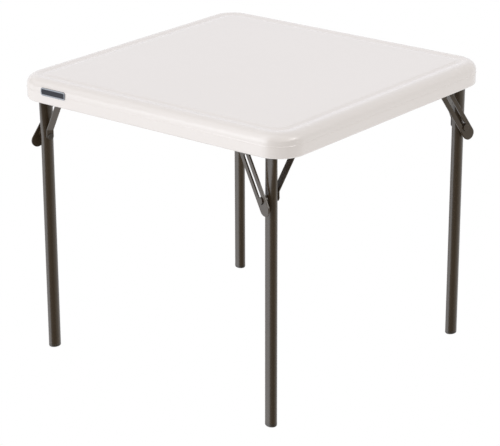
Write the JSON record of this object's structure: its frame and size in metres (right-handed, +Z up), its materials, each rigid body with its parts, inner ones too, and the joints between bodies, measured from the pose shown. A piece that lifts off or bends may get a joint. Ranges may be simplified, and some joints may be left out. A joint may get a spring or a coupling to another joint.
{
  "type": "folding table",
  "caption": "Square folding table with a moulded plastic top and four steel legs that each fold on a strap and a slotted link into the recess under the top.",
  "frame": {"origin": "on the floor, under the middle of the top", "axes": "+Z up, the front side faces -Y; the legs and their links repeat every quarter turn about Z"},
  "size_m": [0.61, 0.61, 0.536],
  "materials": {
    "moulded_top": "fine moulded texture",
    "leg_coat": "dark bronze powder coat",
    "foot_plastic": "satin",
    "pin_steel": "dark plated steel",
    "screw_zinc": "zinc plated"
  },
  "bodies": {
    "top": {"table_top": "moulded_top", "front_right_bracket": "leg_coat", "front_right_bracket_screws": "screw_zinc", "front_right_pivot_rod": "pin_steel", "front_right_link_rivet": "pin_steel", "front_left_bracket": "leg_coat", "front_left_bracket_screws": "screw_zinc", "front_left_pivot_rod": "pin_steel", "front_left_link_rivet": "pin_steel", "rear_left_bracket": "leg_coat", "rear_left_bracket_screws": "screw_zinc", "rear_left_pivot_rod": "pin_steel", "rear_left_link_rivet": "pin_steel", "rear_right_bracket": "leg_coat", "rear_right_bracket_screws": "screw_zinc", "rear_right_pivot_rod": "pin_steel", "rear_right_link_rivet": "pin_steel"},
    "front_right_leg": {"front_right_leg_tube": "leg_coat", "front_right_foot": "foot_plastic", "front_right_strap": "leg_coat", "front_right_cross_pin": "pin_steel"},
    "front_right_link": {"front_right_slot_link": "leg_coat"},
    "front_right_slide": {"front_right_slide_pin": "pin_steel"},
    "front_left_leg": {"front_left_leg_tube": "leg_coat", "front_left_foot": "foot_plastic", "front_left_strap": "leg_coat", "front_left_cross_pin": "pin_steel"},
    "front_left_link": {"front_left_slot_link": "leg_coat"},
    "front_left_slide": {"front_left_slide_pin": "pin_steel"},
    "rear_left_leg": {"rear_left_leg_tube": "leg_coat", "rear_left_foot": "foot_plastic", "rear_left_strap": "leg_coat", "rear_left_cross_pin": "pin_steel"},
    "rear_left_link": {"rear_left_slot_link": "leg_coat"},
    "rear_left_slide": {"rear_left_slide_pin": "pin_steel"},
    "rear_right_leg": {"rear_right_leg_tube": "leg_coat", "rear_right_foot": "foot_plastic", "rear_right_strap": "leg_coat", "rear_right_cross_pin": "pin_steel"},
    "rear_right_link": {"rear_right_slot_link": "leg_coat"},
    "rear_right_slide": {"rear_right_slide_pin": "pin_steel"}
  },
  "joints": [
    {"name": "front_right_leg_fold", "type": "hinge", "parent": "top", "child": "front_right_leg", "pos_m": [0.2555, -0.2765, 0.506], "axis": [0.2672, 0.9636, 0], "range_deg": [0, 90]},
    {"name": "front_right_link_swing", "type": "hinge", "parent": "top", "child": "front_right_link", "pos_m": [0.19672, -0.2602, 0.506], "axis": [0.2672, 0.9636, 0], "range_deg": [0, 124.14]},
    {"name": "front_right_pin_slide", "type": "slide", "parent": "front_right_link", "child": "front_right_slide", "axis": [-0.5406, 0.1499, 0.8278], "range_m": [0, 0.07973]},
    {"name": "front_left_leg_fold", "type": "hinge", "parent": "top", "child": "front_left_leg", "pos_m": [-0.2765, -0.2555, 0.506], "axis": [0.9636, -0.2672, 0], "range_deg": [0, 90]},
    {"name": "front_left_link_swing", "type": "hinge", "parent": "top", "child": "front_left_link", "pos_m": [-0.2602, -0.19672, 0.506], "axis": [0.9636, -0.2672, 0], "range_deg": [0, 124.14]},
    {"name": "front_left_pin_slide", "type": "slide", "parent": "front_left_link", "child": "front_left_slide", "axis": [0.1499, 0.5406, 0.8278], "range_m": [0, 0.07973]},
    {"name": "rear_left_leg_fold", "type": "hinge", "parent": "top", "child": "rear_left_leg", "pos_m": [-0.2555, 0.2765, 0.506], "axis": [-0.2672, -0.9636, 0], "range_deg": [0, 90]},
    {"name": "rear_left_link_swing", "type": "hinge", "parent": "top", "child": "rear_left_link", "pos_m": [-0.19672, 0.2602, 0.506], "axis": [-0.2672, -0.9636, 0], "range_deg": [0, 124.14]},
    {"name": "rear_left_pin_slide", "type": "slide", "parent": "rear_left_link", "child": "rear_left_slide", "axis": [0.5406, -0.1499, 0.8278], "range_m": [0, 0.07973]},
    {"name": "rear_right_leg_fold", "type": "hinge", "parent": "top", "child": "rear_right_leg", "pos_m": [0.2765, 0.2555, 0.506], "axis": [-0.9636, 0.2672, 0], "range_deg": [0, 90]},
    {"name": "rear_right_link_swing", "type": "hinge", "parent": "top", "child": "rear_right_link", "pos_m": [0.2602, 0.19672, 0.506], "axis": [-0.9636, 0.2672, 0], "range_deg": [0, 124.14]},
    {"name": "rear_right_pin_slide", "type": "slide", "parent": "rear_right_link", "child": "rear_right_slide", "axis": [-0.1499, -0.5406, 0.8278], "range_m": [0, 0.07973]}
  ],
  "couplings": [
    {"joint": "front_right_link_swing", "follows": "front_right_leg_fold", "ratio": 1.3792},
    {"joint": "front_right_pin_slide", "follows": "front_right_leg_fold", "m_per_rad": 0.050754},
    {"joint": "front_left_link_swing", "follows": "front_left_leg_fold", "ratio": 1.3792},
    {"joint": "front_left_pin_slide", "follows": "front_left_leg_fold", "m_per_rad": 0.050754},
    {"joint": "rear_left_link_swing", "follows": "rear_left_leg_fold", "ratio": 1.3792},
    {"joint": "rear_left_pin_slide", "follows": "rear_left_leg_fold", "m_per_rad": 0.050754},
    {"joint": "rear_right_link_swing", "follows": "rear_right_leg_fold", "ratio": 1.3792},
    {"joint": "rear_right_pin_slide", "follows": "rear_right_leg_fold", "m_per_rad": 0.050754}
  ]
}
